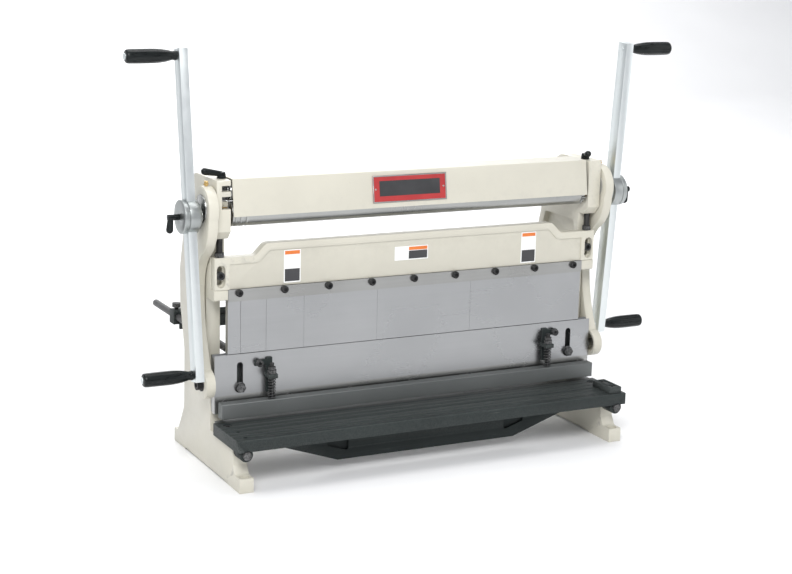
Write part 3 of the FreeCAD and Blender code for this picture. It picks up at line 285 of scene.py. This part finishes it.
# One material for each slot of the record; SPECIAL below gives a node another one.
CREAM = (0.63, 0.605, 0.515)
MATERIALS = {
    "cream_paint": paint("cream_paint", CREAM, (0.34, 0.33, 0.30), 0.22 * MM),
    "dark_iron": iron("dark_iron", (0.020, 0.026, 0.0255), (0.15, 0.16, 0.155)),
    "ground_steel": ground_steel("ground_steel", (0.445, 0.45, 0.455), (0.36, 0.365, 0.37), (12, 900, 420)),
    "machined_steel": turned_steel("machined_steel", (0.42, 0.425, 0.415), (0.34, 0.345, 0.335)),
    "dark_steel": ground_steel("dark_steel", (0.19, 0.20, 0.197), (0.15, 0.16, 0.157), (9, 800, 800),
                               (0.48, 0.60), 0.55),
    "zinc_steel": zinc("zinc_steel"),
    "black_oxide": black_oxide("black_oxide"),
    "black_plastic": plastic("black_plastic"),
    "brass": brass("brass", (0.72, 0.50, 0.20), (0.42, 0.28, 0.11)),
    "bronze": brass("bronze", (0.56, 0.37, 0.17), (0.34, 0.22, 0.10)),
    "plate_white": enamel("plate_white", (0.92, 0.92, 0.90), (0.86, 0.86, 0.84)),
    "plate_red": enamel("plate_red", (0.46, 0.035, 0.035), (0.38, 0.025, 0.028)),
}
RULED_STEEL = ground_steel("ruled_steel", (0.43, 0.43, 0.42), (0.31, 0.31, 0.30), (10, 900, 900))
SHEET_PAINT = paint("sheet_paint", CREAM, (0.40, 0.39, 0.36), 0.05 * MM)
HUB_STEEL = turned_steel("hub_steel", (0.45, 0.47, 0.465), (0.38, 0.40, 0.395), (0.38, 0.46))
SPECIAL = {
    "crank_hubs": HUB_STEEL,
    "upper_shear_blade": RULED_STEEL,
    "finger_clamp_strip": RULED_STEEL,
    "lower_shear_blade": MATERIALS["dark_steel"],
    "ram_guide_bolts": MATERIALS["black_oxide"],
    "upper_roll_blocks": MATERIALS["black_oxide"],
    "roll_cover": SHEET_PAINT,
}


# ---------------------------------------------------------------- CAD nodes: edges and finishes
FINGER_INCHES = (1, 2, 3, 6, 8, 10)
FLAT_FACED = {"ram_plate", "upper_shear_blade", "lower_shear_blade", "finger_clamp_strip", "rear_tie_bar",
              "label_plates", "name_plate"} | {f"finger_{inches}in" for inches in FINGER_INCHES}
EDGE_WIDTH = {"cream_paint": 1.3 * MM, "dark_iron": 0.7 * MM, "black_plastic": 0.8 * MM,
              "zinc_steel": 0.6 * MM}
FINE_EDGE = 0.35 * MM
FLAT_ANGLE = math.radians(0.5)
WELD_GAP = 0.01 * MM
SMOOTH_ANGLE = math.radians(32)


def soften(item, width):
    """Break the sharp edges of a CAD node; a flat-faced one first gets its triangles merged into faces."""
    weld = item.modifiers.new("weld", "WELD")
    weld.merge_threshold = WELD_GAP
    flat = item.name in FLAT_FACED
    if flat:
        merge = item.modifiers.new("merge", "DECIMATE")
        merge.decimate_type = "DISSOLVE"
        merge.angle_limit = FLAT_ANGLE
    bevel = item.modifiers.new("edges", "BEVEL")
    bevel.width = width
    bevel.segments = 2
    bevel.limit_method = "ANGLE"
    bevel.angle_limit = SMOOTH_ANGLE
    bevel.use_clamp_overlap = True
    bevel.harden_normals = not flat
    for face in item.data.polygons:
        face.use_smooth = not flat


def dress(name, slot):
    """Give a CAD node its finish and its edges."""
    item = nodes[name]
    item.data.materials.clear()
    item.data.materials.append(SPECIAL.get(name, MATERIALS[slot]))
    soften(item, EDGE_WIDTH.get(slot, FINE_EDGE))


for part in frame["record"]["subparts"]:
    dress(part["node"], part["material_slot"])


# ---------------------------------------------------------------- mesh helpers
def make(name, build, material, body):
    """Build one mesh piece in the row frame, let it ride on a CAD body and give its slot."""
    mesh = bpy.data.meshes.new(name)
    form = bmesh.new()
    build(form)
    bmesh.ops.recalc_face_normals(form, faces=form.faces)
    form.to_mesh(mesh)
    form.free()
    for face in mesh.polygons:
        face.use_smooth = True
    mesh.materials.append(material)
    item = bpy.data.objects.new(name, mesh)
    bpy.context.scene.collection.objects.link(item)
    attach(item, body)
    return item


def skin(form, rings, closed=False):
    """Join rings of points into a tube; a closed tube joins its last ring to its first."""
    made = [[form.verts.new(point) for point in ring] for ring in rings]
    count = len(made[0])
    pairs = list(zip(made, made[1:])) + ([(made[-1], made[0])] if closed else [])
    for first, second in pairs:
        for i in range(count):
            j = (i + 1) % count
            form.faces.new((first[i], first[j], second[j], second[i]))
    return made


# ---------------------------------------------------------------- moulded grips
# Outline of a grip from its inner to its outer end: share of the length, share of the full radius.
GRIP_OUTLINE = [(0.0, 0.60), (0.012, 0.66), (0.055, 0.67), (0.075, 0.60), (0.10, 0.61), (0.16, 0.74),
                (0.26, 0.88), (0.38, 0.97), (0.50, 1.0), (0.70, 1.0), (0.88, 0.99), (0.955, 0.97),
                (0.985, 0.90), (1.0, 0.74)]
BORE_SHARES = (1.0, 0.97, 0.5, 0.03, 0.0)
GRIP_BORE = 4.3 * MM
GRIP_POINTS = 72
FLUTES = 9
FLUTE_DEPTH = 0.06
FLUTES_FROM, FLUTES_TO = 0.14, 0.93
FLUTE_RISE, FLUTE_FALL = 0.1, 0.06
FLUTE_POWER = 0.7


def grip_ring(x, centre, radius_at):
    """A ring of points round a line along X; radius_at(angle) gives each point's distance from the line."""
    ring = []
    for k in range(GRIP_POINTS):
        angle = 2 * math.pi * k / GRIP_POINTS
        radius = radius_at(angle)
        ring.append(Vector((x, centre[0] + radius * math.cos(angle), centre[1] + radius * math.sin(angle))))
    return ring


def grip_rings(start, side, centre, length, radius):
    """A fluted hand grip along X, hollow for its pin, as a closed loop of rings."""
    rings = []
    for share, size in GRIP_OUTLINE:
        fade = min((share - FLUTES_FROM) / FLUTE_RISE, (FLUTES_TO - share) / FLUTE_FALL, 1.0)
        depth = FLUTE_DEPTH * max(0.0, fade)

        def fluted(angle):
            crest = abs(math.sin(FLUTES * angle / 2)) ** FLUTE_POWER
            return radius * size * (1 - depth * (1 - crest))

        rings.append(grip_ring(start + side * share * length, centre, fluted))
    for share in BORE_SHARES:
        rings.append(grip_ring(start + side * share * length, centre, lambda angle: GRIP_BORE))
    return rings


SIDES = ((1, "right"), (-1, "left"))
for side, side_name in SIDES:
    for end_name in ("upper", "lower"):
        node = f"{side_name}_{end_name}_grip"
        low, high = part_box(node)
        centre = ((low.y + high.y) / 2, (low.z + high.z) / 2)
        length, radius = high.x - low.x, (high.y - low.y) / 2
        start = low.x if side > 0 else high.x
        rings = grip_rings(start, side, centre, length, radius)
        piece = make(f"{node}_moulded", lambda form: skin(form, rings, closed=True),
                     MATERIALS["black_plastic"], node)
        smooth = piece.modifiers.new("smooth", "SUBSURF")
        smooth.levels = smooth.render_levels = 1
        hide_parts(node)


# ---------------------------------------------------------------- hold-down springs
SPRING_TURNS = 8.0
CLOSED_TURNS = 0.9
COIL_RADIUS = 6.6 * MM
WIRE = 1.9 * MM


def spring_rings(centre, low, high):
    """A compression spring whose first and last turns lie flat on their neighbours."""
    per_turn, around = 40, 10
    height = high - low - WIRE
    open_turns = SPRING_TURNS - 2 * CLOSED_TURNS
    rings = []
    for step in range(int(SPRING_TURNS * per_turn) + 1):
        turn = step / per_turn
        open_part = min(max(turn - CLOSED_TURNS, 0.0), open_turns)
        z = low + WIRE / 2 + (height - 2 * CLOSED_TURNS * WIRE) * open_part / open_turns
        z += WIRE * min(turn, CLOSED_TURNS) + WIRE * max(turn - SPRING_TURNS + CLOSED_TURNS, 0.0)
        angle = 2 * math.pi * turn
        out = Vector((math.cos(angle), math.sin(angle), 0))
        middle = Vector((centre[0], centre[1], z)) + out * COIL_RADIUS
        ring = []
        for k in range(around):
            a = 2 * math.pi * k / around
            ring.append(middle + out * (WIRE / 2 * math.cos(a)) + Vector((0, 0, WIRE / 2 * math.sin(a))))
        rings.append(ring)
    return rings


low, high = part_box("hold_down_springs")
for side, side_name in SIDES:
    centre = (side * (high.x - COIL_RADIUS - WIRE / 2), (low.y + high.y) / 2)
    rings = spring_rings(centre, low.z, high.z)

    def build(form):
        made = skin(form, rings)
        form.faces.new(made[0])
        form.faces.new(made[-1])

    piece = make(f"{side_name}_spring_coil", build, MATERIALS["black_oxide"], "hold_down")
    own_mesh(piece)
    if side > 0:
        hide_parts("hold_down_springs")


# ---------------------------------------------------------------- name plate: rim and rivets
PLATE_THICKNESS = 1.4 * MM
RIM_WIDTH, RIM_HEIGHT = 2.2 * MM, 0.5 * MM
RIVET_INSET = 6 * MM
RIVET_RADIUS, RIVET_HEIGHT = 2.0 * MM, 1.1 * MM
RIVET_SINK = 0.1 * MM
POLE_SHARE = 0.98  # a dome's rings stop this far up to its pole, where a small flat closes it


def dome(form, centre, outward, radius, height):
    """A round rivet head on a surface that faces outward."""
    turn = outward.to_track_quat("Z", "Y").to_matrix()
    steps, around = 5, 20
    rings = []
    for step in range(steps + 1):
        a = math.pi / 2 * step / steps
        r, h = radius * math.cos(a * POLE_SHARE), height * math.sin(a)
        rings.append([centre + turn @ Vector((r * math.cos(b), r * math.sin(b), h))
                      for b in (2 * math.pi * k / around for k in range(around))])
    made = skin(form, rings)
    form.faces.new(made[-1])
    form.faces.new(made[0])


def rim(form, low, high, face, width, thick):
    """A raised border on a plate that faces the front; face(z) gives the plate's front at a height."""
    outer = [(low.x, low.z), (high.x, low.z), (high.x, high.z), (low.x, high.z)]
    inner = [(low.x + width, low.z + width), (high.x - width, low.z + width),
             (high.x - width, high.z - width), (low.x + width, high.z - width)]
    rings = []
    for (ox, oz), (ix, iz) in zip(outer, inner):
        rings.append([Vector((ox, face(oz), oz)), Vector((ox, face(oz) - thick, oz)),
                      Vector((ix, face(iz) - thick, iz)), Vector((ix, face(iz), iz))])
    skin(form, rings, closed=True)


plate_low, plate_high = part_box("name_plate")
slope = (plate_high.y - plate_low.y - PLATE_THICKNESS) / (plate_high.z - plate_low.z)


def name_face(z):
    """The front of the name plate, which leans back with the cover."""
    return plate_low.y + (z - plate_low.z) * slope


def name_rivets(form):
    for x in (plate_low.x + RIVET_INSET, plate_high.x - RIVET_INSET):
        z = (plate_low.z + plate_high.z) / 2
        foot = Vector((x, name_face(z) + RIVET_SINK, z))
        dome(form, foot, Vector((0, -1, slope)), RIVET_RADIUS, RIVET_HEIGHT)


make("name_plate_rim", lambda form: rim(form, plate_low, plate_high, name_face, RIM_WIDTH, RIM_HEIGHT),
     MATERIALS["machined_steel"], "cover")
make("name_plate_rivets", name_rivets, MATERIALS["machined_steel"], "cover")


# ---------------------------------------------------------------- label fields, painted shade in the ram slots
ORANGE = enamel("label_orange", (0.78, 0.20, 0.03), (0.70, 0.17, 0.025))
CHARCOAL = enamel("label_charcoal", (0.030, 0.030, 0.032), (0.045, 0.045, 0.047))
INK_LIFT = 0.15 * MM
INK_SINK = 0.05 * MM
PANEL_LIFT = 0.25 * MM


def field(name, box, span_x, span_z, material, body, lift=INK_LIFT, face=None):
    """A thin printed field on the front of a plate, given as shares of the plate's box.

    It starts just behind the front and ends lift before it, or behind it where lift is negative.
    """
    low, high = box
    xs = [low.x + share * (high.x - low.x) for share in span_x]
    zs = [low.z + share * (high.z - low.z) for share in span_z]
    front = face or (lambda z: low.y)
    corners = ((xs[0], zs[0]), (xs[1], zs[0]), (xs[1], zs[1]), (xs[0], zs[1]))
    rings = [[Vector((x, front(z) + depth, z)) for depth in (INK_SINK, -lift)] for x, z in corners]

    def build(form):
        verts = [[form.verts.new(point) for point in ring] for ring in rings]
        for index in range(4):
            first, second = verts[index], verts[(index + 1) % 4]
            form.faces.new((first[0], first[1], second[1], second[0]))
        form.faces.new([ring[1] for ring in verts])
        form.faces.new([ring[0] for ring in reversed(verts)])

    item = make(name, build, material, body)
    for polygon in item.data.polygons:
        polygon.use_smooth = False


# Three plates on the die beam: two tall ones at its ends and a lower, wider one near its middle.
SIDE_LABEL = 34 * MM
MIDDLE_LABEL = (229 * MM, 301 * MM)
MIDDLE_RAISED, MIDDLE_LOWERED = 25 * MM, 10 * MM
TALL_FIELDS = (("band", (0.06, 0.94), (0.86, 0.97), ORANGE, "plate_red"),
               ("text", (0.06, 0.94), (0.04, 0.42), CHARCOAL, "black_plastic"))
WIDE_FIELDS = (("band", (0.42, 0.97), (0.70, 0.94), ORANGE, "plate_red"),
               ("text", (0.42, 0.97), (0.08, 0.66), CHARCOAL, "black_plastic"))

labels_low, labels_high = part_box("label_plates")
middle_from, middle_to = (labels_low.x + distance for distance in MIDDLE_LABEL)
for name, start, end, raised, lowered, fields in (
        ("left", labels_low.x, labels_low.x + SIDE_LABEL, 0, 0, TALL_FIELDS),
        ("middle", middle_from, middle_to, MIDDLE_RAISED, MIDDLE_LOWERED, WIDE_FIELDS),
        ("right", labels_high.x - SIDE_LABEL, labels_high.x, 0, 0, TALL_FIELDS)):
    spot = (Vector((start, labels_low.y, labels_low.z + raised)),
            Vector((end, labels_high.y, labels_high.z - lowered)))
    for part, span_x, span_z, ink, slot in fields:
        field(f"label_{name}_{part}", spot, span_x, span_z, ink, "beam")

field("name_plate_panel", (plate_low, plate_high), (0.09, 0.91), (0.24, 0.80), CHARCOAL, "cover",
      PANEL_LIFT, name_face)

# Thin dark sheets on the frame behind the slots of the ram plate: painted shade seen through the slots.
SHADE_SHEET_TO_BOLT_END = 10.5 * MM
SHADE_SHEET_HALF_WIDTH = 9 * MM
SHADE_SHEET_FRONT = -24.95 * MM
SHADE_SHEET_BOTTOM, SHADE_SHEET_TOP = 126 * MM, 212 * MM
SHADE_SHEET_DEPTH = 0.35 * MM

bolts_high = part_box("ram_guide_bolts")[1]
for name, sign in (("left", -1), ("right", 1)):
    centre = (bolts_high.x - SHADE_SHEET_TO_BOLT_END) * sign
    spot = (Vector((centre - SHADE_SHEET_HALF_WIDTH, SHADE_SHEET_FRONT, SHADE_SHEET_BOTTOM)),
            Vector((centre + SHADE_SHEET_HALF_WIDTH, SHADE_SHEET_FRONT, SHADE_SHEET_TOP)))
    field(f"{name}_slot_shade_sheet", spot, (0, 1), (0, 1), MATERIALS["dark_iron"], "frame",
          -SHADE_SHEET_DEPTH)


# ---------------------------------------------------------------- studio
def area_light(name, place, target, size, power):
    """A rectangular lamp at a place, turned to its target; metres and watts."""
    data = bpy.data.lights.new(name, "AREA")
    data.shape = "RECTANGLE"
    data.size, data.size_y = size
    data.energy = power
    item = bpy.data.objects.new(name, data)
    item.location = place
    item.rotation_euler = (Vector(target) - Vector(place)).to_track_quat("-Z", "Y").to_euler()
    bpy.context.scene.collection.objects.link(item)


def studio_floor():
    """A pale sweep: flat under the machine, curving up far behind it."""
    form = bmesh.new()
    half_width, drop = 8, 0.3 * MM
    profile = [(-6, 0), (3.5, 0), (4.3, 0.1), (4.9, 0.5), (5.2, 1.2), (5.3, 5.5)]
    verts = [[form.verts.new((x, y, z - drop)) for x in (-half_width, half_width)] for y, z in profile]
    for first, second in zip(verts, verts[1:]):
        form.faces.new((first[0], first[1], second[1], second[0]))
    mesh = bpy.data.meshes.new("floor")
    form.to_mesh(mesh)
    form.free()
    for face in mesh.polygons:
        face.use_smooth = True
    g = Graph("pale_floor")
    tint = g.mix(g.span(g.noise(2, 3, 0.5), 0.3, 0.7, 0, 1), (0.90, 0.90, 0.90), (0.93, 0.93, 0.93))
    mesh.materials.append(g.finish(tint, 0.6))
    item = bpy.data.objects.new("floor", mesh)
    bpy.context.scene.collection.objects.link(item)


studio_floor()
MACHINE_MIDDLE = (0, 0, 0.32)
BACK_WALL = (1.6, 5.3, 1.4)
for name, place, target, size, power in (
        ("key", (-1.6, -2.7, 2.7), MACHINE_MIDDLE, (1.6, 1.2), 95),
        ("fill", (2.8, -2.2, 1.6), MACHINE_MIDDLE, (2.0, 2.0), 16),
        ("top", (0.0, 0.4, 3.2), MACHINE_MIDDLE, (3.0, 1.6), 48),
        ("back", (0.8, 3.0, 2.4), MACHINE_MIDDLE, (2.6, 1.2), 30),
        ("wash", (1.6, 2.4, 3.0), BACK_WALL, (3.0, 1.0), 110)):
    area_light(name, place, target, size, power)

world = bpy.data.worlds.new("studio")
bpy.context.scene.world = world
world.use_nodes = True
background = world.node_tree.nodes["Background"]
background.inputs["Color"].default_value = (0.93, 0.95, 1.0, 1)
background.inputs["Strength"].default_value = 0.5


# ---------------------------------------------------------------- camera
CAMERA_PLACE = (-1.5006, -2.9027, 1.0440)
CAMERA_TURN = (27.1, 12.4, 1.4)
CAMERA_LENS = 78.2
CAMERA_SHIFT = (-0.0005, -0.009)


def camera():
    """The main view: from the left and a little above, with a long lens."""
    azimuth, elevation, roll = (math.radians(degrees) for degrees in CAMERA_TURN)
    forward = Vector((math.sin(azimuth) * math.cos(elevation), math.cos(azimuth) * math.cos(elevation),
                      -math.sin(elevation)))
    right = Vector((math.cos(azimuth), -math.sin(azimuth), 0))
    up = right.cross(forward)
    across = math.cos(roll) * right + math.sin(roll) * up
    above = -math.sin(roll) * right + math.cos(roll) * up
    data = bpy.data.cameras.new("camera")
    data.lens = CAMERA_LENS
    data.sensor_width = 36
    data.shift_x, data.shift_y = CAMERA_SHIFT
    item = bpy.data.objects.new("camera", data)
    turn = Matrix((across, above, -forward)).transposed()
    item.matrix_world = Matrix.Translation(CAMERA_PLACE) @ turn.to_4x4()
    bpy.context.scene.collection.objects.link(item)
    bpy.context.scene.camera = item


camera()
bpy.context.scene.view_settings.view_transform = "Standard"

bpy.context.view_layer.update()
